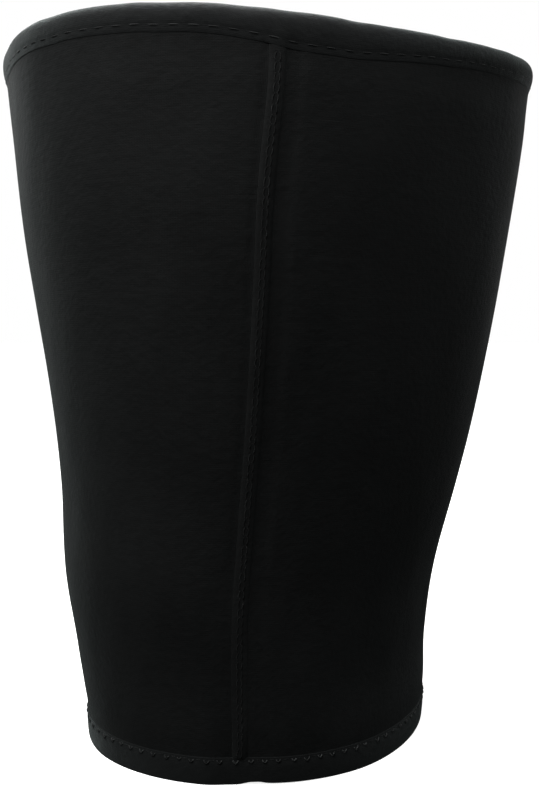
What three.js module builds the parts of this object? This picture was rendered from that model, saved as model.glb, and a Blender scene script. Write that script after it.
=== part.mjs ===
// A thigh compression sleeve: one panel of knit-faced neoprene wrapped into an open, tapered tube,
// sewn together down the front with a raised flat seam, and bound at both ends with a folded knit hem.
// It stands on its narrow lower hem, as the foam keeps its form by itself.
// Millimetres, +Z up, front towards -Y, +X to the right as the front is seen.
// The origin lies on the surface that the sleeve stands on, under the middle of the wide upper hem.

import * as THREE from 'three';

// Cloth
const WALL = 3; // neoprene foam with its two knit faces
const BINDING = 1.2; // folded knit of a hem
const CLEARANCE = 0.3; // kept between pieces that touch on the real sleeve

// Upper rim: its mean height, the rise of its right end, and the slack waves round it,
// each with a count, a height, and the direction of its first crest in degrees
const RIM = { height: 221.4, rise: 0.6 };
const RIM_WAVES = [
  { count: 2, rise: 3.4, crest: 21 },
  { count: 3, rise: 0.8, crest: 33 },
];

// Outer face of the panel, from the floor up. Each section is an oval: long and short half axes,
// power (2 is an ellipse, more is squarer), turn of the long axis from +X, centre, and the
// direction of the seam as seen from that centre. Angles are in degrees.
const SECTIONS = [
  { height: 0, long: 60.5, short: 54.8, power: 1.88, turn: 36, x: -4.3, y: -5.1, seam: -97 },
  { height: 12, long: 61.9, short: 56.1, power: 1.9, turn: 35, x: -4.2, y: -5.2, seam: -96 },
  { height: 30, long: 63.3, short: 57.3, power: 1.96, turn: 32, x: -5.7, y: -4.4, seam: -94.8 },
  { height: 55, long: 66.4, short: 59.6, power: 2.04, turn: 28.5, x: -6.2, y: -3.5, seam: -94 },
  { height: 85, long: 70.2, short: 62.6, power: 2.13, turn: 25.3, x: -3.0, y: -2.5, seam: -94 },
  { height: 115, long: 74.9, short: 66.2, power: 2.17, turn: 24.6, x: -1.0, y: -1.9, seam: -93.6 },
  { height: 145, long: 79.7, short: 69.8, power: 2.22, turn: 24, x: -0.4, y: -1.4, seam: -92.5 },
  { height: 175, long: 84.2, short: 73.0, power: 2.26, turn: 23.4, x: -0.3, y: -0.8, seam: -91.3 },
  { height: 200, long: 87.1, short: 75.0, power: 2.3, turn: 22.9, x: 0, y: -0.3, seam: -90 },
  { height: 211, long: 87.6, short: 75.2, power: 2.31, turn: 22.7, x: 0, y: -0.1, seam: -89.3 },
  { height: 223, long: 88.2, short: 75.8, power: 2.33, turn: 22.5, x: 0, y: 0, seam: -89 },
];

// Front seam: the slit between the panel's edges, the rib that covers it, and the panel round it.
// The panel dips into a valley beside the rib, which runs out under the upper hem, and swells a
// little past the valley's right side. The lower hem pinches it inwards.
const SLIT = 1;
const RIB = { width: 3.8, edge: 0.6, crown: 1.6, facets: 4 };
const VALLEY = { depth: 1.1, floor: 2.6, left: 6.5, right: 7.5, fadeFrom: 206, fadeTo: 218 };
const PINCH = { depth: 1.3, left: 9, right: 22, fadeFrom: 4, fadeTo: 26 };
const SWELL = { rise: 0.45, from: 6, crest: 11.5, to: 20 };

// Hems: how far the folded knit reaches down the outer face and the inner face, the bulge of its
// outer face and its share of the way from fold to stitches, and the radius of its folded edge.
// The stitches pull the end of the outer leg thin. The upper hem is taller round the seam.
const TOP_HEM = { outer: 7.4, inner: 7, bulge: 0.5, bulgeAt: 0.3, fold: 2.2 };
const TOP_HEM_DIP = { depth: 4.6, middle: 6, left: 22, right: 45 };
const BOTTOM_HEM = { outer: 8.5, inner: 7, bulge: 0.3, bulgeAt: 0.45, fold: 1 };
const HEM_END = 0.7; // the pulled end of an outer leg
const GROOVE_RADIUS = 0.2; // least radius inside a fold
const PANEL_DROP = 2.2; // from the edge of a hem to the panel's edge inside it

// Facets: columns beside the seam by their distance from it, even columns round the rest, and the
// heights that the panel and the rib share, so that they stay clear of each other
const SEAM_COLUMNS = [SLIT / 2, 2.6, 4.6, 6.8, 10, 15];
const PLAIN_COLUMNS = 56;
const PLAIN_START = THREE.MathUtils.degToRad(20);
const LEVELS = [8.5, 14, 20, 27, 45, 65, 85, 105, 125, 145, 165, 185, 203, 209]; // between the ends
const FOLD_STEPS = 3;

const { smoothstep, degToRad, clamp, lerp } = THREE.MathUtils;
const FULL_TURN = 2 * Math.PI;

// Sections between the rows of the table, as a smooth curve through each column

function sectionValue(name, height) {
  const last = SECTIONS.length - 1;
  const z = clamp(height, SECTIONS[0].height, SECTIONS[last].height);
  let row = 0;
  while (row < last - 1 && z > SECTIONS[row + 1].height) row += 1;
  const slope = (k) => {
    const below = SECTIONS[Math.max(k - 1, 0)];
    const above = SECTIONS[Math.min(k + 1, last)];
    return (above[name] - below[name]) / (above.height - below.height);
  };
  const [a, b] = [SECTIONS[row], SECTIONS[row + 1]];
  const span = b.height - a.height;
  const t = (z - a.height) / span;
  const blend = t * t * (3 - 2 * t);
  const start = slope(row) * span * t * (1 - t) ** 2;
  const end = slope(row + 1) * span * t * t * (t - 1);
  return lerp(a[name], b[name], blend) + start + end;
}

function ovalRadius(height, angle) {
  const power = sectionValue('power', height);
  const along = angle - degToRad(sectionValue('turn', height));
  const x = Math.abs(Math.cos(along)) / sectionValue('long', height);
  const y = Math.abs(Math.sin(along)) / sectionValue('short', height);
  return (x ** power + y ** power) ** (-1 / power);
}

const seamAngle = (height) => degToRad(sectionValue('seam', height));
const seamRadius = (height) => ovalRadius(height, seamAngle(height));

// Distance from the seam, along the face, of a turn from it: positive to the right, negative to the left
function arcOf(turn, height) {
  const signed = turn > Math.PI ? turn - FULL_TURN : turn;
  return signed * seamRadius(height);
}

// How far the panel's face stands out from its oval, beside the seam
function seamRelief(arc, height) {
  const fall = (form, flat) => 1 - smoothstep(Math.abs(arc), flat, arc < 0 ? form.left : form.right);
  const fade = (form) => 1 - smoothstep(height, form.fadeFrom, form.fadeTo);
  const valley = VALLEY.depth * fall(VALLEY, VALLEY.floor) * fade(VALLEY);
  const pinch = PINCH.depth * fall(PINCH, 0) * fade(PINCH);
  const { rise, from, crest, to } = SWELL;
  const swell = rise * smoothstep(arc, from, crest) * (1 - smoothstep(arc, crest, to));
  return swell - valley - pinch;
}

// A point of the sleeve: its turn from the seam, its height, and how far it stands out from the
// panel's face
function facePoint(turn, height, out) {
  const angle = seamAngle(height) + turn;
  const radius = ovalRadius(height, angle) + seamRelief(arcOf(turn, height), height) + out;
  return new THREE.Vector3(
    sectionValue('x', height) + radius * Math.cos(angle),
    sectionValue('y', height) + radius * Math.sin(angle),
    height,
  );
}

function rimHeight(turn) {
  const angle = seamAngle(RIM.height) + turn;
  const wave = ({ count, rise, crest }) => rise * Math.cos(count * (angle - degToRad(crest)));
  const waves = RIM_WAVES.reduce((sum, row) => sum + wave(row), 0);
  return RIM.height + RIM.rise * Math.cos(angle) + waves;
}

function topHemReach(turn) {
  const arc = arcOf(turn, RIM.height) - TOP_HEM_DIP.middle;
  const reach = arc < 0 ? TOP_HEM_DIP.left : TOP_HEM_DIP.right;
  return TOP_HEM.outer + TOP_HEM_DIP.depth * Math.exp(-((arc / reach) ** 2));
}

// Columns run once round the sleeve, from just right of the seam to just left of it
const plainStep = (FULL_TURN - 2 * PLAIN_START) / PLAIN_COLUMNS;
const COLUMNS = [
  ...SEAM_COLUMNS.map((arc) => ({ arc })),
  ...Array.from({ length: PLAIN_COLUMNS + 1 }, (_, k) => ({ turn: PLAIN_START + k * plainStep })),
  ...SEAM_COLUMNS.map((arc) => ({ arc: -arc })).reverse(),
];
const SEAM_LINE = { arc: 0 };

function turnOf(column, height) {
  const turn = column.turn ?? column.arc / seamRadius(height);
  return turn < 0 ? turn + FULL_TURN : turn;
}

// A closed solid through rings of points. An open row of rings is capped at both ends, across each
// ring from its first half to its second half, and a closed row joins its last ring to its first.
function sweep(rings, closed) {
  const count = rings[0].length;
  const at = (ring, k) => (ring % rings.length) * count + (k % count);
  const index = [];
  const quad = (a, b, c, d) => index.push(a, b, c, a, c, d);
  const spans = closed ? rings.length : rings.length - 1;
  for (let ring = 0; ring < spans; ring += 1) {
    for (let k = 0; k < count; k += 1) {
      quad(at(ring, k), at(ring + 1, k), at(ring + 1, k + 1), at(ring, k + 1));
    }
  }
  for (let k = 0; !closed && k < count / 2 - 1; k += 1) {
    const end = rings.length - 1;
    quad(at(0, k), at(0, k + 1), at(0, count - 2 - k), at(0, count - 1 - k));
    quad(at(end, count - 1 - k), at(end, count - 2 - k), at(end, k + 1), at(end, k));
  }
  const geometry = new THREE.BufferGeometry();
  const positions = rings.flat().flatMap((point) => point.toArray());
  geometry.setAttribute('position', new THREE.Float32BufferAttribute(positions, 3));
  geometry.setIndex(index);
  geometry.computeVertexNormals();
  return geometry;
}

const levelsBetween = (low, high) => [low, ...LEVELS.filter((z) => z > low && z < high), high];

// The panel: each column is a strip of wall, up its outer face and down its inner face
function panelGeometry() {
  const rings = COLUMNS.map((column) => {
    const top = rimHeight(turnOf(column, RIM.height)) - PANEL_DROP;
    const heights = levelsBetween(PANEL_DROP, top);
    const face = (z, out) => facePoint(turnOf(column, z), z, out);
    return [
      ...heights.map((z) => face(z, 0)),
      ...heights.map((z) => face(z, -WALL)).reverse(),
    ];
  });
  return sweep(rings, false);
}

// Section of a hem's fold: out is measured from the panel's face, drop from the hem's edge.
// It runs up the outer leg, over the fold, down the inner leg, and back through the groove
// that the panel's edge sits in.
function hemSection(hem, outerReach) {
  const faces = { out: CLEARANCE + BINDING, in: -WALL - CLEARANCE - BINDING };
  const groove = { out: CLEARANCE, in: -WALL - CLEARANCE };
  const corner = (out, drop, radius, from) =>
    Array.from({ length: FOLD_STEPS + 1 }, (_, k) => {
      const angle = degToRad(from + (90 * k) / FOLD_STEPS);
      return { out: out + radius * Math.cos(angle), drop: drop - radius * Math.sin(angle) };
    });
  const inner = Math.max(hem.fold - BINDING, GROOVE_RADIUS);
  return [
    { out: groove.out + HEM_END, drop: outerReach },
    { out: faces.out + hem.bulge, drop: lerp(hem.fold, outerReach, hem.bulgeAt) },
    ...corner(faces.out - hem.fold, hem.fold, hem.fold, 0),
    ...corner(faces.in + hem.fold, hem.fold, hem.fold, 90),
    { out: faces.in, drop: hem.inner },
    { out: groove.in, drop: hem.inner },
    ...corner(groove.in + inner, BINDING + inner, inner, 90).reverse(),
    ...corner(groove.out - inner, BINDING + inner, inner, 0).reverse(),
    { out: groove.out, drop: outerReach },
  ];
}

function topHemGeometry() {
  const rings = [SEAM_LINE, ...COLUMNS].map((column) => {
    const turn = turnOf(column, RIM.height);
    const section = hemSection(TOP_HEM, topHemReach(turn));
    return section.map(({ out, drop }) => facePoint(turn, rimHeight(turn) - drop, out));
  });
  return sweep(rings, true);
}

function bottomHemGeometry() {
  const section = hemSection(BOTTOM_HEM, BOTTOM_HEM.outer).reverse();
  const rings = [SEAM_LINE, ...COLUMNS].map((column) =>
    section.map(({ out, drop }) => facePoint(turnOf(column, drop), drop, out)));
  return sweep(rings, true);
}

// The seam's rib: a low dome in the valley, from hem to hem
function seamGeometry() {
  const bottom = BOTTOM_HEM.outer + CLEARANCE;
  const top = rimHeight(0) - topHemReach(0) - CLEARANCE;
  const across = Array.from({ length: RIB.facets + 1 }, (_, k) => (2 * k) / RIB.facets - 1);
  const base = CLEARANCE;
  const dome = (side) => base + RIB.edge + (RIB.crown - RIB.edge) * (1 - side * side);
  const rings = levelsBetween(bottom, top).map((z) => {
    const point = (side, out) => facePoint(turnOf({ arc: (side * RIB.width) / 2 }, z), z, out);
    return [
      ...across.map((side) => point(side, base)),
      ...across.map((side) => point(side, dome(side))).reverse(),
    ];
  });
  return sweep(rings, false);
}

function piece(name, geometry, color, roughness) {
  const material = new THREE.MeshStandardMaterial({ color, roughness, metalness: 0 });
  const mesh = new THREE.Mesh(geometry, material);
  mesh.name = name;
  return mesh;
}

const sleeve = new THREE.Group();
sleeve.add(
  piece('sleeve_panel', panelGeometry(), '#191b1b', 0.9),
  piece('front_seam', seamGeometry(), '#242626', 0.8),
  piece('top_hem', topHemGeometry(), '#1f2222', 0.85),
  piece('bottom_hem', bottomHemGeometry(), '#1f2222', 0.85),
);

export default sleeve;
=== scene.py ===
import math

import bpy
import numpy as np
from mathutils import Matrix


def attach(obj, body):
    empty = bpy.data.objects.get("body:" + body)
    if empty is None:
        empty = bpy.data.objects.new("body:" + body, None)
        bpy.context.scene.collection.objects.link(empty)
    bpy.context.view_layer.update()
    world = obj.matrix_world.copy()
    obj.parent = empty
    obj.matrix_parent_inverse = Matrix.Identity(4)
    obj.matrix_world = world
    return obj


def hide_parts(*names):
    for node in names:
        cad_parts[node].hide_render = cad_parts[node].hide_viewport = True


# A thigh compression sleeve of black knit-faced neoprene, standing on its narrow lower end: the
# wrapped panel, the flat-lock seam down its front, the folded hem at each end, and their stitches.
# Shapes are worked out in millimetres, in the frame of the solids: +Z up, front towards -Y.

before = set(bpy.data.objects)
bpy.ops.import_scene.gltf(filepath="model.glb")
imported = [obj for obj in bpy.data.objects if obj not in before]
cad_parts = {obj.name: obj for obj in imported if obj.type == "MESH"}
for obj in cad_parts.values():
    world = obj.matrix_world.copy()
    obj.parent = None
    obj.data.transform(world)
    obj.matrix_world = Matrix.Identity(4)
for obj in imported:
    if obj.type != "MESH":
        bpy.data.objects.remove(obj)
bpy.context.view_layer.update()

MM = 0.001
FULL_TURN = 2 * math.pi
SEED = 11

# Cloth
WALL = 3.0  # neoprene foam with its two knit faces
BINDING = 1.2  # folded knit of a hem
CLEARANCE = 0.3  # between the panel and the inner leg of a hem
INNER_FACE = -WALL - CLEARANCE - BINDING  # of a hem, as it stands out from the panel's outer face

# Upper rim: its mean height, the rise of its right end, and the slack waves round it,
# each with a count, a height, and the direction of its first crest in degrees
RIM = {"height": 222.0, "rise": 0.6}
RIM_WAVES = (
    {"count": 2, "rise": 3.4, "crest": 21},
    {"count": 3, "rise": 0.8, "crest": 33},
    {"count": 17, "rise": 0.07, "crest": 5},
    {"count": 29, "rise": 0.05, "crest": 9},
    {"count": 46, "rise": 0.03, "crest": 3},
)

# Outer face of the panel, from the floor up: ovals by their half axes, power, turn of the long
# axis, centre, and the direction of the seam from that centre, with angles in degrees
SECTION_COLUMNS = ("height", "long", "short", "power", "turn", "x", "y", "seam")
SECTIONS = (
    (0, 61.8, 56.0, 1.88, 36.0, -4.0, -5.1, -97.0),
    (12, 62.4, 56.5, 1.90, 35.0, -4.1, -5.2, -96.0),
    (30, 63.3, 57.3, 1.96, 32.0, -5.7, -4.4, -94.4),
    (55, 66.4, 59.6, 2.04, 28.5, -6.2, -3.5, -93.3),
    (85, 70.2, 62.6, 2.13, 25.3, -3.0, -2.5, -94.0),
    (115, 74.9, 66.2, 2.17, 24.6, -1.0, -1.9, -93.6),
    (145, 79.7, 69.8, 2.22, 24.0, -0.4, -1.4, -92.5),
    (175, 84.2, 73.0, 2.26, 23.4, -0.3, -0.8, -91.3),
    (200, 87.1, 75.0, 2.30, 22.9, 0.0, -0.3, -89.6),
    (211, 88.3, 75.3, 2.31, 22.7, 0.0, -0.1, -89.3),
    (223, 89.6, 76.0, 2.33, 22.5, 0.1, 0.0, -89.0),
)
TABLE = dict(zip(SECTION_COLUMNS, np.array(SECTIONS, float).T))

# Front seam: the slit between the panel's edges, the rib that covers it, and the panel round it.
# The panel dips into a crease left of the rib and a valley right of it, which run out under the
# upper hem and lie flatter near the lower one, and it swells a little past the valley. The lower
# hem pinches it inwards. Places across are measured from the seam, positive to the right.
SLIT = 1.0
RIB = {"middle": 1.2, "width": 4.6, "edge": 0.02, "crown": 0.34, "round": 0.8, "under": -0.2}
LEFT_DIP = {"depth": 0.16, "middle": -1.9, "half": 2.2}
VALLEY = {
    "depth": 0.42, "middle": 5.7, "floor": 0.8, "left": 3.6, "right": 4.6,
    "fade_from": 206, "fade_to": 218,
}
SEAM_FOOT = {"share": 0.1, "from": 16.0, "to": 84.0}
SWELL = {"rise": 0.08, "from": 6.0, "crest": 14.0, "to": 36.0}
PINCH = {"depth": 0.9, "left": 9.0, "right": 22.0, "fade_from": 4, "fade_to": 26}

# Hems: reach of the outer and inner legs; how far the outer leg stands out at the crest of its
# roll, at the ridge along the hem's edge, and at its stitched end; place of the crest on the way
# from fold to end; radius of the fold inside; distance of the stitch line from the outer leg's
# end; and how much of TIGHT_ENDS is added to the roll at the left and right ends of the oval
TOP_HEM = {
    "outer": 8.0, "inner": 7.0, "crest": 0.32, "ridge": -2.4, "end": 0.03,
    "crest_at": 0.5, "fold": 2.4, "stitch": 1.8, "tight": 1.0,
}
BOTTOM_HEM = {
    "outer": 8.5, "inner": 7.0, "crest": 0.5, "ridge": 0.4, "end": 0.16,
    "crest_at": 0.3, "fold": 1.1, "stitch": 1.0, "tight": 0.0,
}
TIGHT_ENDS = {"crest": 0.45, "ridge": 1.2, "crest_at": -0.3, "power": 6}
TOP_HEM_DIP = {"depth": 2.8, "middle": 14.0, "left": 20.0, "right": 32.0}  # taller round the seam
HEM_LAP = {"rise": 0.9, "middle": 5.6, "width": 3.2, "after": 0.5, "fade": 40.0}  # of the lower hem
PANEL_DROP = {"top": 4.6, "bottom": 2.2}  # from the edge of a hem to the panel's edge inside it
TOP_PINCH = {"depth": 0.05, "fade": 16.0}  # how the stitches draw the panel in below the upper hem
BOTTOM_PINCH = {"depth": 0.15, "fade": 9.0}  # and above the lower one
PINCH_UNDER = 2.0  # length over which the panel comes out again under a hem

# Slack of the standing tube: shallow waves, by their count round it, the height over which they
# turn once, their size and their phase
SLACK_COLUMNS = ("count", "length", "size", "phase")
SLACK = (
    (3, 260.0, 0.22, 0.4),
    (5, -190.0, 0.16, 2.1),
    (8, 120.0, 0.08, 4.4),
    (13, -75.0, 0.05, 1.2),
    (21, 58.0, 0.04, 0.7),
    (31, -41.0, 0.03, 3.0),
)
SLACK_FADE = 24.0  # height above the floor over which the slack sets in


# Shape of the sleeve

def smoothstep(x, start, end):
    t = np.clip((x - start) / (end - start), 0, 1)
    return t * t * (3 - 2 * t)


def section(name, z):
    """A column of the table as a smooth curve through its rows."""
    heights, values = TABLE["height"], TABLE[name]
    last = len(heights) - 1
    index = np.arange(last + 1)
    before, after = np.maximum(index - 1, 0), np.minimum(index + 1, last)
    slopes = (values[after] - values[before]) / (heights[after] - heights[before])
    z = np.clip(z, heights[0], heights[last])
    row = np.clip(np.searchsorted(heights, z) - 1, 0, last - 1)
    span = heights[row + 1] - heights[row]
    t = (z - heights[row]) / span
    blend = t * t * (3 - 2 * t)
    start = slopes[row] * span * t * (1 - t) ** 2
    end = slopes[row + 1] * span * t * t * (t - 1)
    return values[row] + (values[row + 1] - values[row]) * blend + start + end


def oval_radius(z, angle):
    """Radius of the oval at a height, in a direction from its centre."""
    power = section("power", z)
    along = angle - np.radians(section("turn", z))
    x = np.abs(np.cos(along)) / section("long", z)
    y = np.abs(np.sin(along)) / section("short", z)
    return (x ** power + y ** power) ** (-1 / power)


def seam_angle(z):
    return np.radians(section("seam", z))


def seam_radius(z):
    return oval_radius(z, seam_angle(z))


def arc_of(turn, z):
    """Distance from the seam along the face: positive to the right, negative to the left."""
    turn = np.mod(turn, FULL_TURN)
    signed = np.where(turn > math.pi, turn - FULL_TURN, turn)
    return signed * seam_radius(z)


def seam_share(z):
    """How much of its full relief the seam has at a height."""
    foot = SEAM_FOOT["share"]
    return foot + (1 - foot) * smoothstep(z, SEAM_FOOT["from"], SEAM_FOOT["to"])


def seam_relief(arc, z):
    """How far the panel's face stands out from its oval beside the seam."""
    def fall(form, middle, flat):
        side = arc - middle
        return 1 - smoothstep(np.abs(side), flat, np.where(side < 0, form["left"], form["right"]))

    def fade(form):
        return 1 - smoothstep(z, form["fade_from"], form["fade_to"])

    valley = VALLEY["depth"] * fall(VALLEY, VALLEY["middle"], VALLEY["floor"])
    valley = valley * fade(VALLEY) * seam_share(z)
    near = 1 - smoothstep(np.abs(arc - LEFT_DIP["middle"]), 0, LEFT_DIP["half"])
    crease = LEFT_DIP["depth"] * near * fade(VALLEY) * seam_share(z)
    pinch = PINCH["depth"] * fall(PINCH, 0, 0) * fade(PINCH)
    rise = smoothstep(arc, SWELL["from"], SWELL["crest"])
    drop = 1 - smoothstep(arc, SWELL["crest"], SWELL["to"])
    return SWELL["rise"] * rise * drop - valley - crease - pinch


def slack(angle, z):
    """How far the slack of the cloth moves its face out."""
    total = 0
    for row in SLACK:
        wave = dict(zip(SLACK_COLUMNS, row))
        climb = FULL_TURN * z / wave["length"]
        total = total + wave["size"] * np.sin(wave["count"] * angle + climb + wave["phase"])
    return total * smoothstep(z, 0, SLACK_FADE)


def face(turn, z, out):
    """A point by its turn from the seam, its height, and how far it stands out from the face."""
    turn, z, out = np.broadcast_arrays(np.asarray(turn, float), z, out)
    angle = seam_angle(z) + turn
    radius = oval_radius(z, angle) + seam_relief(arc_of(turn, z), z) + slack(angle, z) + out
    x = section("x", z) + radius * np.cos(angle)
    y = section("y", z) + radius * np.sin(angle)
    return np.stack([x, y, z], -1)


def rim_height(turn):
    angle = seam_angle(RIM["height"]) + turn
    height = RIM["height"] + RIM["rise"] * np.cos(angle)
    for wave in RIM_WAVES:
        around = wave["count"] * (angle - math.radians(wave["crest"]))
        height = height + wave["rise"] * np.cos(around)
    return height


def top_reach(turn):
    """How far the outer leg of the upper hem reaches down."""
    arc = arc_of(turn, RIM["height"]) - TOP_HEM_DIP["middle"]
    reach = np.where(arc < 0, TOP_HEM_DIP["left"], TOP_HEM_DIP["right"])
    return TOP_HEM["outer"] + TOP_HEM_DIP["depth"] * np.exp(-((arc / reach) ** 2))


def bottom_reach(turn):
    """How far the outer leg of the lower hem reaches up."""
    return BOTTOM_HEM["outer"] + 0 * turn


def top_height(turn, drop):
    """Height over the floor of a place by its distance from the upper hem's edge."""
    return rim_height(turn) - drop


def bottom_height(turn, drop):
    """The same for the lower hem, whose edge is drawn up at its lap and lies higher right of it."""
    arc = arc_of(turn, 0.0) - HEM_LAP["middle"]
    width = HEM_LAP["width"]
    notch = HEM_LAP["rise"] * np.exp(-((arc / width) ** 2))
    after = smoothstep(arc, 0, width) * (1 - smoothstep(arc, width, HEM_LAP["fade"]))
    near = 1 - smoothstep(drop, 0, BOTTOM_HEM["outer"])
    return drop + (notch + HEM_LAP["after"] * after) * near


def hem_pinch(turn, z):
    """How far the panel is drawn in at the ends of the hems, as a negative distance."""
    below_top = top_height(turn, top_reach(turn)) - z
    above_bottom = z - bottom_height(turn, bottom_reach(turn))
    total = 0
    for form, gap in ((TOP_PINCH, below_top), (BOTTOM_PINCH, above_bottom)):
        near = smoothstep(gap, -PINCH_UNDER, 0) * (1 - smoothstep(gap, 0, form["fade"]))
        total = total - form["depth"] * near
    return total


# Meshes

MAP_NAME = "cloth"  # map of the cloth, or of a thread, in millimetres along it
SHADE_NAME = "shade"  # brightness of a stitch, from 0 to 1, between its thread's dark and light colours: random, partly painted glints, and painted shade on threads sunk in the cloth


def make_object(name, points, faces, maps, material, shade=None):
    """An object from arrays of polygons with equal corners each, and their map coordinates."""
    fans = [f[:, [0, k, k + 1]] for f in faces for k in range(1, f.shape[1] - 1)]
    a, b, c = points[np.concatenate(fans)].transpose(1, 0, 2)
    faces_inwards = np.einsum("ij,ij->", a, np.cross(b, c)) < 0  # by the sign of the volume
    if faces_inwards:
        faces = [f[:, ::-1] for f in faces]
        maps = [m[:, ::-1] for m in maps]
    corners = np.concatenate([f.reshape(-1) for f in faces])
    sizes = np.concatenate([np.full(len(f), f.shape[1]) for f in faces])
    starts = np.concatenate([[0], np.cumsum(sizes)[:-1]])
    mesh = bpy.data.meshes.new(name)
    mesh.vertices.add(len(points))
    mesh.vertices.foreach_set("co", (points * MM).astype(np.float32).ravel())
    mesh.loops.add(len(corners))
    mesh.loops.foreach_set("vertex_index", corners.astype(np.int32))
    mesh.polygons.add(len(sizes))
    mesh.polygons.foreach_set("loop_start", starts.astype(np.int32))
    layer = mesh.uv_layers.new(name=MAP_NAME)
    flat = np.concatenate([m.reshape(-1) for m in maps])
    layer.data.foreach_set("uv", flat.astype(np.float32))
    if shade is not None:
        attribute = mesh.attributes.new(SHADE_NAME, "FLOAT", "POINT")
        attribute.data.foreach_set("value", shade.astype(np.float32))
    mesh.update(calc_edges=True)
    mesh.validate()
    mesh.shade_smooth()
    mesh.materials.append(material)
    obj = bpy.data.objects.new(name, mesh)
    bpy.context.collection.objects.link(obj)
    return obj


def swept(rings, uv, closed):
    """Faces through rings of points, each ring closed. An open row of rings is capped."""
    count, around = rings.shape[:2]
    spans = count if closed else count - 1
    i, k = (g.ravel() for g in np.meshgrid(np.arange(spans), np.arange(around), indexing="ij"))
    corners = ((i, k), (i + 1, k), (i + 1, k + 1), (i, k + 1))
    quads = np.stack([(a % count) * around + b % around for a, b in corners], 1)
    faces = [quads]
    maps = [np.stack([uv[a, b] for a, b in corners], 1)]
    if not closed:
        half = np.arange(around // 2 - 1)
        cap = np.stack([half, half + 1, around - 2 - half, around - 1 - half], 1)
        for ends in (cap, cap[:, ::-1] + (count - 1) * around):
            faces.append(ends)
            maps.append(np.zeros(ends.shape + (2,)))
    return rings.reshape(-1, 3), faces, maps


# Nodes of the materials

def add_node(tree, kind, **settings):
    node = tree.nodes.new(kind)
    for key, value in settings.items():
        setattr(node, key, value)
    return node


def feed(tree, socket, value):
    if isinstance(value, bpy.types.NodeSocket):
        tree.links.new(value, socket)
    else:
        socket.default_value = value


def calc(tree, operation, *values):
    node = add_node(tree, "ShaderNodeMath", operation=operation)
    for socket, value in zip(node.inputs, values):
        feed(tree, socket, value)
    return node.outputs[0]


def add_share(tree, value, share, total):
    """A total with a share of a value added to it."""
    return calc(tree, "MULTIPLY_ADD", value, share, total) if share else total


def noise(tree, label, vector, scale, detail):
    node = add_node(tree, "ShaderNodeTexNoise", label=label)
    feed(tree, node.inputs["Vector"], vector)
    feed(tree, node.inputs["Scale"], scale)
    feed(tree, node.inputs["Detail"], detail)
    return node.outputs["Fac"]


def blend_colours(tree, factor, dark, light):
    node = add_node(tree, "ShaderNodeMix", data_type="RGBA")
    feed(tree, node.inputs["Factor"], factor)
    feed(tree, node.inputs["A"], (*dark, 1))
    feed(tree, node.inputs["B"], (*light, 1))
    return node.outputs["Result"]


def spread(tree, value, low, high):
    """A value from low to high, spread smoothly from 0 to 1."""
    node = add_node(tree, "ShaderNodeMapRange", interpolation_type="SMOOTHSTEP")
    feed(tree, node.inputs["Value"], value)
    feed(tree, node.inputs["From Min"], low)
    feed(tree, node.inputs["From Max"], high)
    return node.outputs["Result"]


def cloth_map(tree):
    """The map, and its two parts: across the wales and along them, or along and round a thread."""
    place = add_node(tree, "ShaderNodeUVMap", uv_map=MAP_NAME)
    parts = add_node(tree, "ShaderNodeSeparateXYZ")
    tree.links.new(place.outputs["UV"], parts.inputs[0])
    return place.outputs["UV"], parts.outputs["X"], parts.outputs["Y"]


def scaled_along(tree, vector, along):
    """The map scaled along the wales: under 1, a noise on it is drawn out into streaks."""
    node = add_node(tree, "ShaderNodeVectorMath", operation="MULTIPLY")
    feed(tree, node.inputs[0], vector)
    feed(tree, node.inputs[1], (1.0, along, 1.0))
    return node.outputs[0]


def principled(name, settings):
    material = bpy.data.materials.new(name)
    material.use_nodes = True
    shader = material.node_tree.nodes["Principled BSDF"]
    for key, value in settings.items():
        shader.inputs[key].default_value = value
    return material, material.node_tree, shader


def bump(tree, shader, height, strength, distance):
    node = add_node(tree, "ShaderNodeBump")
    feed(tree, node.inputs["Strength"], strength)
    feed(tree, node.inputs["Distance"], distance)
    feed(tree, node.inputs["Height"], height)
    tree.links.new(node.outputs["Normal"], shader.inputs["Normal"])


# Knit cloth

KNIT_FINISH = {
    "Specular IOR Level": 0.12,
    "Sheen Roughness": 0.4,
    "Sheen Tint": (0.88, 1.0, 0.98, 1.0),
}
KNIT_ROUGHNESS = 0.76
KNIT_BUMP = {"strength": 0.45, "distance": 0.12 * MM}
KNIT_MOTTLE = {"low": 0.25, "high": 0.75}  # range of the mottling from the dark tone to the light
KNIT_LOOP = {"slant": 0.6, "depth": 0.25, "dark": 0.5}  # "dark" is the painted shade between the loops, where the relief is low
HEM_WALE = 0.6

# Noises in the cloth: their scale to the millimetre, detail, scale along the wales, and their
# shares of the tone, the relief and the roughness
KNIT_NOISE_COLUMNS = ("name", "scale", "detail", "along", "tone", "relief", "roughness")
KNIT_NOISES = (
    ("clouds", 0.035, 4.0, 1.0, 0.55, 0.0, 0.0),
    ("streaks", 0.55, 3.0, 0.04, 0.1, 0.0, 0.0),
    ("fuzz", 2.4, 2.0, 1.0, 0.0, 0.5, 0.16),
    ("nap", 0.6, 3.0, 1.0, 0.0, 2.6, 0.0),
    ("grain", 0.3, 4.0, 1.0, 0.35, 3.0, 0.0),
)


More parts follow.
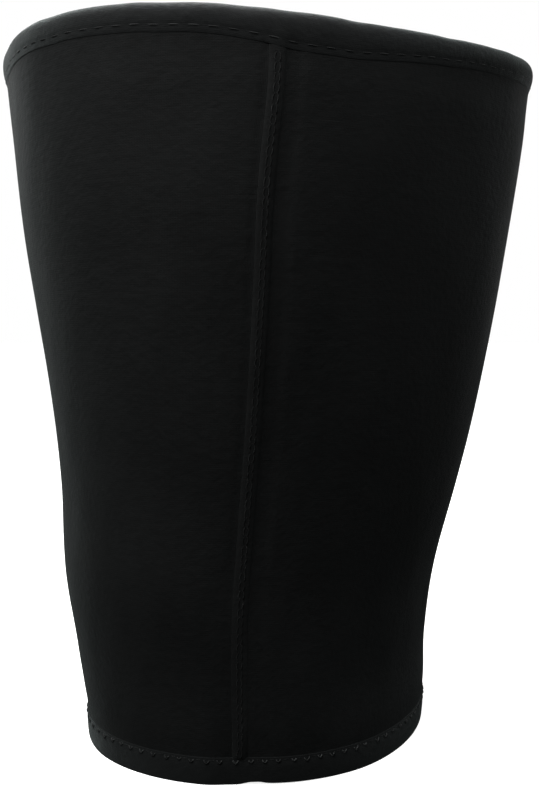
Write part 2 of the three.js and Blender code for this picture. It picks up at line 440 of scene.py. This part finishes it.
def knit_height(tree, u, v, wale, course):
    """Columns of knit loops: two slanted legs to a wale, one loop to a course."""
    leg = calc(tree, "PINGPONG", calc(tree, "DIVIDE", u, wale), 0.5)
    leg = calc(tree, "MULTIPLY", leg, 2.0)  # from 0 to 1 over half a wale, and back
    climb = calc(tree, "MULTIPLY_ADD", leg, KNIT_LOOP["slant"], calc(tree, "DIVIDE", v, course))
    loop = calc(tree, "SINE", calc(tree, "MULTIPLY", climb, FULL_TURN))
    loop = calc(tree, "MULTIPLY_ADD", loop, KNIT_LOOP["depth"], 1 - KNIT_LOOP["depth"])
    side = calc(tree, "MULTIPLY_ADD", leg, 2.0, -1.0)  # from -1 to 1 across a leg
    crown = calc(tree, "SUBTRACT", 1.0, calc(tree, "MULTIPLY", side, side))
    return calc(tree, "MULTIPLY", crown, loop)


def knit_material(name, dark, light, wale, course, sheen):
    """Black knit cloth: loops and nap in relief, painted shade between the loops, soft mottling,
    faint streaks along the wales.
    """
    material, tree, shader = principled(name, {**KNIT_FINISH, "Sheen Weight": sheen})
    uv, u, v = cloth_map(tree)
    loops = knit_height(tree, u, v, wale, course)
    mottle, relief, roughness = 0.0, loops, KNIT_ROUGHNESS
    for row in KNIT_NOISES:
        layer = dict(zip(KNIT_NOISE_COLUMNS, row))
        place = scaled_along(tree, uv, layer["along"])
        value = noise(tree, layer["name"], place, layer["scale"], layer["detail"])
        mottle = add_share(tree, value, layer["tone"], mottle)
        relief = add_share(tree, value, layer["relief"], relief)
        roughness = add_share(tree, value, layer["roughness"], roughness)
    tone = spread(tree, mottle, KNIT_MOTTLE["low"], KNIT_MOTTLE["high"])
    # Painted shade: the colour is darker between the loops, where the relief is low
    painted_gap_shade = calc(tree, "MULTIPLY_ADD", loops, KNIT_LOOP["dark"], 1 - KNIT_LOOP["dark"])
    tone = calc(tree, "MULTIPLY", tone, painted_gap_shade)
    tree.links.new(blend_colours(tree, tone, dark, light), shader.inputs["Base Color"])
    tree.links.new(roughness, shader.inputs["Roughness"])
    bump(tree, shader, relief, **KNIT_BUMP)
    return material


KNIT = knit_material(
    "neoprene_knit", dark=(0.006, 0.0064, 0.0064), light=(0.0125, 0.0132, 0.0132),
    wale=0.8, course=0.62, sheen=0.06)
HEM_KNIT = knit_material(
    "hem_knit", dark=(0.007, 0.0075, 0.0076), light=(0.0146, 0.0157, 0.0159),
    wale=HEM_WALE, course=0.48, sheen=0.16)
RIB_KNIT = knit_material(
    "rib_knit", dark=(0.0065, 0.0069, 0.0069), light=(0.0135, 0.0142, 0.0142),
    wale=0.7, course=0.55, sheen=0.06)


# Sewing thread

THREAD_FINISH = {"Sheen Weight": 0.08, "Sheen Roughness": 0.4}
PLIES = {"count": 2.0, "twist": 1.6, "dark": 0.5}  # twist in turns to the millimetre; "dark" is the painted shade between the plies
PLY_BUMP = {"strength": 0.5, "distance": 0.1 * MM}


def thread_material(name, dark, light, specular, roughness):
    """Sewing thread: twisted plies in relief with painted shade between them, and a brightness of
    its own for each stitch, partly painted glints and painted shade.
    """
    finish = {"Specular IOR Level": specular, "Roughness": roughness}
    material, tree, shader = principled(name, {**THREAD_FINISH, **finish})
    _, u, v = cloth_map(tree)
    twist = calc(tree, "MULTIPLY_ADD", u, PLIES["twist"], calc(tree, "MULTIPLY", v, PLIES["count"]))
    plies = calc(tree, "SINE", calc(tree, "MULTIPLY", twist, FULL_TURN))
    plies = calc(tree, "MULTIPLY_ADD", plies, 0.5, 0.5)  # from 0 between plies to 1 on them
    shade = add_node(tree, "ShaderNodeAttribute", attribute_name=SHADE_NAME)
    # Painted shade: the colour is darker between the plies
    painted_gap_shade = calc(tree, "MULTIPLY_ADD", plies, PLIES["dark"], 1 - PLIES["dark"])
    tone = calc(tree, "MULTIPLY", shade.outputs["Fac"], painted_gap_shade)
    tree.links.new(blend_colours(tree, tone, dark, light), shader.inputs["Base Color"])
    bump(tree, shader, plies, **PLY_BUMP)
    return material


# Three copies of the one sewing thread. The top and lower copies have lighter colours than the
# seam's, partly painted highlight, the lower one most, for the glints of its stitches.
SEAM_YARN = thread_material(
    "seam_thread", dark=(0.007, 0.0075, 0.0075), light=(0.019, 0.0202, 0.0202),
    specular=0.12, roughness=0.65)
TOP_YARN = thread_material(
    "top_thread", dark=(0.012, 0.0128, 0.0128), light=(0.03, 0.032, 0.032),
    specular=0.2, roughness=0.6)
BOTTOM_YARN = thread_material(
    "hem_thread", dark=(0.009, 0.0096, 0.0096), light=(0.05, 0.054, 0.053),
    specular=0.35, roughness=0.5)


# Panel: fine columns beside the seam, even columns round the rest

SEAM_BAND = 26.0  # width of the fine columns on each side of the seam
SEAM_STEP = 0.65
PLAIN_COLUMNS = 190
PANEL_STEPS = ((2.2, 1.0), (20.0, 2.7), (196.0, 1.0))  # height above the floor, step from there on
PANEL_TOP = 219.0  # the height at which the steps end, before they follow the rim
MEAN_RADIUS = 70.0  # for the scale of the wales, which run up the tube


def panel_turns(z):
    """Turns of the panel's columns at a height, from just right of the seam to just left of it."""
    near = np.arange(0, SEAM_BAND, SEAM_STEP) + SLIT / 2
    share = np.linspace(0, 1, PLAIN_COLUMNS + 1)[None]
    radius = seam_radius(z)[:, None]
    first = near[None] / radius
    start = (SLIT / 2 + SEAM_BAND) / radius
    middle = start + share * (FULL_TURN - 2 * start)
    return np.concatenate([first, middle, FULL_TURN - first[:, ::-1]], 1)


def panel_levels():
    """Levels of the panel, from 0 at its lower edge to 1 at its upper edge."""
    ends = [row[0] for row in PANEL_STEPS[1:]] + [PANEL_TOP]
    runs = [np.arange(low, high, step) for (low, step), high in zip(PANEL_STEPS, ends)]
    levels = np.concatenate(runs + [[PANEL_TOP]])
    return (levels - levels[0]) / (levels[-1] - levels[0])


def make_panel():
    """The wall of the tube: each column runs up its outer face and down its inner face."""
    share = panel_levels()
    bottom = PANEL_DROP["bottom"]
    turns = panel_turns(bottom + share * (PANEL_TOP - bottom)).T
    top = rim_height(turns[:, -1:]) - PANEL_DROP["top"]
    z = bottom + share[None] * (top - bottom)
    outer = face(turns, z, hem_pinch(turns, z))
    inner = face(turns, z, -WALL)
    rings = np.concatenate([outer, inner[:, ::-1]], 1)
    uv = np.stack([(turns - math.pi) * MEAN_RADIUS, z], -1)
    uv = np.concatenate([uv, uv[:, ::-1], uv[:, :1]], 1)
    return make_object("knit_panel", *swept(rings, uv, False), KNIT)


# Hems

HEM_STEP = 0.75  # between columns round a hem
GUIDE_POINTS = 2401  # round a ring, to measure along it
LEG_STEPS = 18
FOLD_STEPS = 10
LEG_POWER = 2.0  # over 1 for an outer leg that stays full towards its end
LEG_END = 0.9  # thickness of the outer leg's end, most of it sunk in the panel's face
END_STEP = 0.06  # length of the last step of the outer leg, which keeps its end crisp
LEG_HOLLOW = 0.15  # how far the hollow of a hem reaches out behind the crest of its roll
INNER_LEG = {"steps": 5, "press": 0.5, "press_from": 0.6, "gap": 0.05}  # pressed to the panel
STITCH_GROOVE = {"depth": 0.05, "width": 0.85, "pucker": 0.06}  # the pucker is added at each stitch
PUCKER_UNDER = 0.6  # share of the pucker that a stitch lies in
HEM_HUMP = {"height": 0.3, "width": 2.4, "length": 6.0}  # over the end of the seam's rib
MAP_CLOSE = 1.0  # length on the map of the hidden step that closes a hem's section


def even_turns(height, out, step):
    """Turns spaced evenly by length along a ring, and the ring's run of lengths with its turns."""
    guide = np.linspace(0, FULL_TURN, GUIDE_POINTS)
    points = face(guide, height(guide), out)
    lengths = np.linalg.norm(np.diff(points, axis=0), axis=1)
    run = np.concatenate([[0], np.cumsum(lengths)])
    count = int(round(run[-1] / step))
    return np.interp(np.arange(count) / count * run[-1], run, guide), run, guide


def roll(hem, turn, reach):
    """How far out the crest and the ridge of a hem lie, and how far the crest is from its edge."""
    ends = hem["tight"] * np.cos(seam_angle(RIM["height"]) + turn) ** TIGHT_ENDS["power"]
    keys = ("crest", "ridge", "crest_at")
    crest, ridge, crest_at = (hem[key] + TIGHT_ENDS[key] * ends for key in keys)
    return crest, ridge, hem["fold"] + crest_at * (reach - hem["fold"])


def leg_out(hem, turn, drop, reach, stitch):
    """Outer face of a hem's outer leg, from the crest of its roll down to its stitched end."""
    crest, _, crest_drop = roll(hem, turn, reach)
    t = np.clip((drop - crest_drop) / (reach - crest_drop), 0, 1)
    near = np.exp(-(((reach - drop - hem["stitch"]) / STITCH_GROOVE["width"]) ** 2))
    groove = near * (STITCH_GROOVE["depth"] + STITCH_GROOVE["pucker"] * stitch)
    return crest - (crest - hem["end"]) * t ** LEG_POWER - groove


def over_seam(turn, drop, reach):
    """How far a hem is lifted where it runs over the end of the seam's rib."""
    side = (arc_of(turn, RIM["height"]) - RIB["middle"]) / HEM_HUMP["width"]
    near = smoothstep(drop, reach - HEM_HUMP["length"], reach)
    return HEM_HUMP["height"] * np.exp(-(side ** 2)) * near


def hem_rings(hem, turns, reach, height, stitch):
    """Rings of a hem's U section, from the end of its outer leg round to the end of its hollow.

    Each stretch is given by how far it stands out from the panel's face and by its distance from
    the hem's edge: the outer leg, the two quarters of the fold, the inner leg, and the hollow
    that the panel's edge sits in.
    """
    turns, reach, stitch = turns[:, None], reach[:, None], stitch[:, None]
    fold, inner = hem["fold"], hem["inner"]
    crest, ridge, crest_drop = roll(hem, turns, reach)
    leg_drop = crest_drop + np.linspace(1, 0, LEG_STEPS)[None] * (reach - END_STEP - crest_drop)
    leg_drop = np.concatenate([reach, leg_drop], 1)
    leg = leg_out(hem, turns, leg_drop, reach, stitch) + over_seam(turns, leg_drop, reach)
    quarter = np.radians(np.linspace(0, 90, FOLD_STEPS + 1)[1:])[None] + 0 * reach
    outer_fold = ridge + (crest - ridge) * np.cos(quarter)
    outer_drop = crest_drop - crest_drop * np.sin(quarter)
    inner_fold = INNER_FACE + fold - fold * np.sin(quarter)
    fold_drop = fold - fold * np.cos(quarter)
    down = np.linspace(0, 1, INNER_LEG["steps"] + 1)[None, 1:] + 0 * reach
    inner_leg = INNER_FACE + INNER_LEG["press"] * smoothstep(down, INNER_LEG["press_from"], 1)
    inner_drop = fold + down * (inner - fold)
    hollow = np.array([-WALL - INNER_LEG["gap"], -WALL - CLEARANCE, -WALL / 2, LEG_HOLLOW])
    hollow = hollow[None] + 0 * reach
    hollow_drop = np.array([inner, fold, BINDING])[None] + 0 * reach
    hollow_drop = np.concatenate([hollow_drop, crest_drop], 1)
    heel = 0 * reach + hem["end"] - LEG_END
    out = np.concatenate([leg, outer_fold, inner_fold, inner_leg, hollow, heel], 1)
    drop = np.concatenate([leg_drop, outer_drop, fold_drop, inner_drop, hollow_drop, reach], 1)
    points = face(turns, height(turns, drop), out)
    steps = np.linalg.norm(np.diff(points, axis=1), axis=-1)
    run = np.concatenate([np.zeros((len(turns), 1)), np.cumsum(steps, 1)], 1)
    return points, run


def make_hem(name, hem, reach, height, pitch):
    """A hem, as a closed ring whose map is joined at the back."""
    def edge(turn):
        return height(turn, hem["fold"])

    turns, run, guide = even_turns(edge, 0, HEM_STEP)
    length = run[-1]
    half = len(turns) // 2
    turns = np.roll(turns, half)
    place = np.interp(turns, guide, run)
    place[:half] -= length  # measured from the seam, and negative on its left
    count = round(length / pitch)
    stitch = 0.5 + 0.5 * np.cos(FULL_TURN * count * place / length)  # 1 at a stitch, 0 between
    rings, section_run = hem_rings(hem, turns, reach(turns), height, stitch)
    whole = round(length / HEM_WALE) * HEM_WALE  # a whole number of wales
    along = np.concatenate([place, [place[0] + length]]) * whole / length
    section_run = np.concatenate([section_run, section_run[:, -1:] + MAP_CLOSE], 1)
    section_run = np.concatenate([section_run, section_run[:1]], 0)
    uv = np.stack([along[:, None] + 0 * section_run, section_run], -1)
    return make_object(name, *swept(rings, uv, True), HEM_KNIT)


# Seam rib: a low dome over the slit, drawn down where it runs under the hems

RIB_STEP = 0.6
RIB_ACROSS = 18
RIB_TUCK = 1.5  # how far the rib runs on under a hem's end


def rib_span():
    """Heights of the rib's lower and upper end."""
    bottom = BOTTOM_HEM["outer"] - RIB_TUCK
    top = float(rim_height(0.0) - top_reach(np.array(0.0))) + RIB_TUCK
    return bottom, top


def rib_out(arc, z):
    """How far the rib's face stands out from the panel's."""
    bottom, top = rib_span()
    side = np.clip((arc - RIB["middle"]) / (RIB["width"] / 2), -1, 1)
    full = smoothstep(z, bottom, bottom + RIB_TUCK) * (1 - smoothstep(z, top - RIB_TUCK, top))
    level = RIB["crown"] * seam_share(z) - seam_relief(arc, z)
    dome = np.cos(side * math.pi / 2) ** RIB["round"]
    return RIB["edge"] + level * dome * full + hem_pinch(arc / seam_radius(z), z)


def make_rib():
    bottom, top = rib_span()
    z = np.linspace(bottom, top, int((top - bottom) / RIB_STEP))[:, None]
    side = np.sin(np.linspace(-1, 1, RIB_ACROSS + 1)[None] * math.pi / 2)
    arc = side * RIB["width"] / 2 + RIB["middle"]
    turn = arc / seam_radius(z)
    under = face(turn, z, RIB["under"])
    over = face(turn, z, rib_out(arc, z))
    rings = np.concatenate([over, under[:, ::-1]], 1)
    steps = np.linalg.norm(np.diff(over, axis=1), axis=-1)
    across = np.concatenate([0 * z, np.cumsum(steps, 1)], 1)
    across = np.concatenate([across, across[:, ::-1], across[:, :1]], 1)
    uv = np.stack([across, z + 0 * across], -1)
    return make_object("seam_rib", *swept(rings, uv, False), RIB_KNIT)


# Stitches: "lift" is how far a thread lies over the cloth, "dive" how deep its ends go, and "out"
# how far out from the panel's face a line of stitches is measured

THREAD_STEPS = 7
THREAD_SIDES = 6
THREAD_TAPER = 0.25  # share of its radius that a thread loses at its ends
HOP_POWER = 5  # over 1 for a stitch that stays level until near its ends
SEAM_STITCH = {
    "radius": 0.13, "lift": -0.03, "dive": 0.3,
    "pitch": 2.7, "length": 3.2, "spread": 0.75, "round": 0.6,
}
TOP_STITCH = {
    "radius": 0.17, "lift": -0.17, "dive": 0.35,
    "pitch": 5.4, "length": 3.4, "out": 1.0,
}
BOTTOM_STITCH = {
    "radius": 0.2, "lift": -0.02, "dive": 0.4,
    "pitch": 4.3, "half": 0.75, "low": 1.7, "high": 0.7, "out": 0.5,
}
UNEVEN = {"slip": 0.3, "size": 0.2, "dark": 0.15}  # how uneven the stitches of the lower hem are; "dark" is the least random brightness of a stitch, which partly paints glints
LINK_SINK = 0.3  # how deep the thread lies in the cloth between two stitches of the lower hem
LEG_PAINTED_SHADE = {"down": 0.6, "up": 1.0, "link": 0.0}  # shares of a lower stitch's brightness: painted shade, darkest on the link sunk in the cloth and darker on the leg going down


def strands(name, paths, ups, radius, material, shades):
    """Threads: a round tube along each path, thinner where it dives into the cloth."""
    count, steps = paths.shape[:2]
    along = np.gradient(paths, axis=1)
    along /= np.linalg.norm(along, axis=-1, keepdims=True)
    across = np.cross(along, ups)
    across /= np.linalg.norm(across, axis=-1, keepdims=True)
    normal = np.cross(across, along)
    middle = np.sin(math.pi * np.linspace(0, 1, steps))
    taper = radius * (1 - THREAD_TAPER + THREAD_TAPER * middle)[None, :, None, None]
    angle = np.linspace(0, FULL_TURN, THREAD_SIDES, endpoint=False)[None, None, :, None]
    spokes = np.cos(angle) * across[:, :, None] + np.sin(angle) * normal[:, :, None]
    points = paths[:, :, None] + taper * spokes
    lengths = np.linalg.norm(np.diff(paths, axis=1), axis=-1)
    run = np.concatenate([np.zeros((count, 1)), np.cumsum(lengths, axis=1)], 1)
    grid = np.meshgrid(
        np.arange(count), np.arange(steps - 1), np.arange(THREAD_SIDES), indexing="ij")
    s, i, k = (g.ravel() for g in grid)
    corners = ((i, k), (i + 1, k), (i + 1, k + 1), (i, k + 1))
    quads = np.stack([(s * steps + a) * THREAD_SIDES + b % THREAD_SIDES for a, b in corners], 1)
    quad_map = np.stack([np.stack([run[s, a], b / THREAD_SIDES], -1) for a, b in corners], 1)
    ring = np.arange(THREAD_SIDES)
    starts = np.arange(count)[:, None] * steps
    first = starts * THREAD_SIDES + ring[::-1][None]
    last = (starts + steps - 1) * THREAD_SIDES + ring[None]
    caps = np.concatenate([first, last])
    faces, maps = [quads, caps], [quad_map, np.zeros(caps.shape + (2,))]
    shade = np.repeat(shades, steps * THREAD_SIDES)
    return make_object(name, points.reshape(-1, 3), faces, maps, material, shade)


def hop(t, stitch):
    """Height of a thread's middle over the cloth along a stitch: down at its ends, up between."""
    fall = stitch["lift"] + stitch["dive"]
    return stitch["lift"] + stitch["radius"] - fall * np.abs(2 * t - 1) ** HOP_POWER


def outward(turn, z):
    return face(turn, z, 1.0) - face(turn, z, 0.0)


def make_seam_threads(generator):
    """A chain of loops along the crest of the rib, two sides to a loop."""
    bottom, top = rib_span()
    length = SEAM_STITCH["length"]
    t = np.linspace(0, 1, THREAD_STEPS)
    starts = np.arange(bottom + RIB_TUCK, top - RIB_TUCK - length, SEAM_STITCH["pitch"])[:, None]
    loop = SEAM_STITCH["spread"] * np.sin(math.pi * t) ** SEAM_STITCH["round"]
    z = starts + t[None] * length
    z = np.concatenate([z, z])
    arc = np.concatenate([RIB["middle"] + side * loop[None] + 0 * starts for side in (-1, 1)])
    out = rib_out(arc, z) + hop(t, SEAM_STITCH)[None]
    turn = arc / seam_radius(z)
    paths, ups = face(turn, z, out), outward(turn, z)
    # Random brightness, mostly dark with a few bright loops: partly painted glints
    shades = generator.uniform(0, 1, len(z)) ** 2
    return strands("seam_threads", paths, ups, SEAM_STITCH["radius"], SEAM_YARN, shades)


def make_top_stitches(generator):
    """A running stitch round the upper hem, seen outside and inside."""
    hem = TOP_HEM

    def line(turn):
        return top_height(turn, top_reach(turn) - hem["stitch"])

    middles, run, guide = even_turns(line, TOP_STITCH["out"], TOP_STITCH["pitch"])
    t = np.linspace(0, 1, THREAD_STEPS)
    place = np.interp(middles, guide, run)[:, None] + (t[None] - 0.5) * TOP_STITCH["length"]
    turn = np.interp(np.mod(place, run[-1]), run, guide)
    reach = top_reach(turn)
    drop = reach - hem["stitch"]
    rise = hop(t, TOP_STITCH)[None]
    outside = leg_out(hem, turn, drop, reach, PUCKER_UNDER) + over_seam(turn, drop, reach) + rise
    inside = INNER_FACE - rise + 0 * drop
    inner_drop = hem["inner"] - hem["stitch"] + 0 * drop
    paths, ups = [], []
    for out, low, side in ((outside, drop, 1), (inside, inner_drop, -1)):
        z = top_height(turn, low)
        paths.append(face(turn, z, out))
        ups.append(side * outward(turn, z))
    paths, ups = np.concatenate(paths), np.concatenate(ups)
    # Random brightness of each stitch, partly painted glints
    shades = generator.uniform(0, 1, len(paths))
    return strands("upper_hem_stitches", paths, ups, TOP_STITCH["radius"], TOP_YARN, shades)


def make_bottom_stitches(generator):
    """Small V stitches round the lower hem, linked by a thread that is sunk in the cloth, with
    painted shade on the link and the down legs.
    """
    hem = BOTTOM_HEM
    reach = hem["outer"]

    def line(turn):
        return bottom_height(turn, reach)

    starts, run, guide = even_turns(line, BOTTOM_STITCH["out"], BOTTOM_STITCH["pitch"])
    t = np.linspace(0, 1, THREAD_STEPS)
    count = len(starts)
    slip = generator.normal(0, UNEVEN["slip"], (count, 1))
    size = 1 + UNEVEN["size"] * generator.uniform(-1, 1, (count, 1))
    # Random brightness of each stitch, partly painted glints
    random_tone_and_glint = UNEVEN["dark"] + (1 - UNEVEN["dark"]) * generator.uniform(0, 1, count) ** 2
    base = np.interp(starts, guide, run)[:, None] + slip
    half = BOTTOM_STITCH["half"] * size
    low, high = BOTTOM_STITCH["low"] * size, BOTTOM_STITCH["high"]
    gap = BOTTOM_STITCH["pitch"] - half - np.roll(half, -1) + np.roll(slip, -1) - slip
    # Start and length along the hem, distance from the leg's end at the start and at the finish,
    # depth in the cloth, and share of the brightness, which paints shade on the down leg and the
    # sunk link
    legs = (
        (-half, half, high, low, 0, LEG_PAINTED_SHADE["down"]),
        (0, half, low, high, 0, LEG_PAINTED_SHADE["up"]),
        (half, gap, high, high, LINK_SINK, LEG_PAINTED_SHADE["link"]),
    )
    paths, ups, shades = [], [], []
    for start, length, first, second, depth, share in legs:
        place = base + start + t[None] * length
        turn = np.interp(np.mod(place, run[-1]), run, guide)
        drop = reach - (first + (second - first) * t[None]) + 0 * turn
        rest = leg_out(hem, turn, drop, reach, PUCKER_UNDER) + over_seam(turn, drop, reach) - depth
        z = bottom_height(turn, drop)
        paths.append(face(turn, z, rest + hop(t, BOTTOM_STITCH)[None]))
        ups.append(outward(turn, z))
        shades.append(share * random_tone_and_glint)
    paths, ups, shades = (np.concatenate(rows) for rows in (paths, ups, shades))
    return strands("lower_hem_stitches", paths, ups, BOTTOM_STITCH["radius"], BOTTOM_YARN, shades)


# Floor, light and camera

WHITE = (1.0, 1.0, 1.0, 1.0)
FLOOR_SIZE = 40000.0
FLOOR_FINISH = {
    "Roughness": 0.9,
    "Specular IOR Level": 0.1,
    "Emission Color": WHITE,
    "Emission Strength": 0.85,
}
FLOOR_TONES = {"dark": (0.9, 0.9, 0.9), "light": (0.93, 0.93, 0.93)}
FLOOR_NOISE = {"scale": 3.0, "detail": 2.0}

# Light from all round: its tones below and overhead, and the stretch of sky where it passes from
# one to the other, by the upward part of the direction
SKY_TONES = {"dark": (0.025, 0.027, 0.027), "light": (0.18, 0.19, 0.19)}
SKY_SPREAD = {"low": -0.1, "high": 0.95}

# Lamps: their direction from the target, azimuth 0 at the front and 90 at the right, in degrees,
# their distance from it and the length of their sides, and their power in watts
OVERHEAD = {"strength": 0.5, "angle": 14}  # a sun, and the degrees that it spreads over
LAMP_TARGET = (0.0, 0.0, 150.0)
LAMP_COLUMNS = ("name", "azimuth", "elevation", "distance", "size", "power")
LAMPS = (
    ("key", -35, 50, 500, 400, 3.1),
    ("left_rim", -136, 29, 700, 350, 2.15),
    ("right_rim", 140, 12, 700, 350, 0.75),
    ("right_fill", 95, 10, 700, 350, 0.6),
    ("back_fill", 180, 35, 700, 350, 1.2),
    ("over_hem", -29, 71.5, 162, 60, 0.5),
)

# Camera in front of the sleeve, pitched down by some degrees
CAMERA = {"place": (0.0, -315.0, 133.2), "pitch": 3.64, "lens": 40.07, "sensor": 36.0, "near": 10.0}


def floor_material():
    """A pale floor that glows a little, so that it comes out white under dim lamps."""
    material, tree, shader = principled("pale_floor", FLOOR_FINISH)
    place = add_node(tree, "ShaderNodeNewGeometry")
    tone = noise(tree, "unevenness", place.outputs["Position"], **FLOOR_NOISE)
    tree.links.new(blend_colours(tree, tone, **FLOOR_TONES), shader.inputs["Base Color"])
    return material


def make_floor():
    bpy.ops.mesh.primitive_plane_add(size=FLOOR_SIZE * MM)
    floor = bpy.context.object
    floor.name = "floor"
    floor.data.materials.append(floor_material())
    floor.visible_diffuse = False  # it throws no light up on the cloth
    floor.visible_glossy = False


def make_world():
    """A dim sky, brighter overhead, that lights the cloth, with plain white behind the sleeve."""
    world = bpy.data.worlds.new("studio")
    world.use_nodes = True
    tree = world.node_tree
    tree.nodes.clear()
    way = add_node(tree, "ShaderNodeTexCoord")
    parts = add_node(tree, "ShaderNodeSeparateXYZ")
    tree.links.new(way.outputs["Generated"], parts.inputs[0])
    overhead = spread(tree, parts.outputs["Z"], **SKY_SPREAD)
    soft = add_node(tree, "ShaderNodeBackground")
    tree.links.new(blend_colours(tree, overhead, **SKY_TONES), soft.inputs["Color"])
    white = add_node(tree, "ShaderNodeBackground")
    white.inputs["Color"].default_value = WHITE
    path = add_node(tree, "ShaderNodeLightPath")
    mix = add_node(tree, "ShaderNodeMixShader")
    end = add_node(tree, "ShaderNodeOutputWorld")
    tree.links.new(path.outputs["Is Camera Ray"], mix.inputs[0])
    tree.links.new(soft.outputs[0], mix.inputs[1])
    tree.links.new(white.outputs[0], mix.inputs[2])
    tree.links.new(mix.outputs[0], end.inputs["Surface"])
    bpy.context.scene.world = world


def make_lamps():
    """A soft sun straight overhead, and square lamps turned to the sleeve."""
    light = bpy.data.lights.new("overhead", "SUN")
    light.energy = OVERHEAD["strength"]
    light.angle = math.radians(OVERHEAD["angle"])
    bpy.context.collection.objects.link(bpy.data.objects.new("overhead", light))
    for row in LAMPS:
        lamp = dict(zip(LAMP_COLUMNS, row))
        turn, tilt = math.radians(lamp["azimuth"]), math.radians(lamp["elevation"])
        way = (math.cos(tilt) * math.sin(turn), -math.cos(tilt) * math.cos(turn), math.sin(tilt))
        light = bpy.data.lights.new(lamp["name"], "AREA")
        light.energy = lamp["power"]
        light.size = lamp["size"] * MM
        obj = bpy.data.objects.new(lamp["name"], light)
        obj.location = [(c + lamp["distance"] * w) * MM for c, w in zip(LAMP_TARGET, way)]
        obj.rotation_euler = (math.pi / 2 - tilt, 0, turn)
        obj.visible_camera = False
        bpy.context.collection.objects.link(obj)


def make_camera():
    data = bpy.data.cameras.new("camera")
    data.lens = CAMERA["lens"]
    data.sensor_width = CAMERA["sensor"]
    data.clip_start = CAMERA["near"] * MM
    obj = bpy.data.objects.new("camera", data)
    obj.location = [MM * c for c in CAMERA["place"]]
    obj.rotation_euler = (math.radians(90 - CAMERA["pitch"]), 0, 0)
    bpy.context.collection.objects.link(obj)
    bpy.context.scene.camera = obj


make_camera()
make_floor()
make_world()
make_lamps()
bpy.context.scene.view_settings.view_transform = "Standard"

generator = np.random.default_rng(SEED)
panel = make_panel()
upper_hem = make_hem("upper_hem", TOP_HEM, top_reach, top_height, TOP_STITCH["pitch"])
lower_hem = make_hem("lower_hem", BOTTOM_HEM, bottom_reach, bottom_height, BOTTOM_STITCH["pitch"])
rib = make_rib()
seam_threads = make_seam_threads(generator)
upper_stitches = make_top_stitches(generator)
lower_stitches = make_bottom_stitches(generator)

SLOTS = (
    (panel, "neoprene_knit"),
    (upper_hem, "hem_knit"),
    (lower_hem, "hem_knit"),
    (rib, "seam_thread"),
    (seam_threads, "seam_thread"),
    (upper_stitches, "seam_thread"),
    (lower_stitches, "seam_thread"),
)
for piece, slot in SLOTS:
    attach(piece, "root")
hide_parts("sleeve_panel")
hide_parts("top_hem")
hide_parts("bottom_hem")
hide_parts("front_seam")
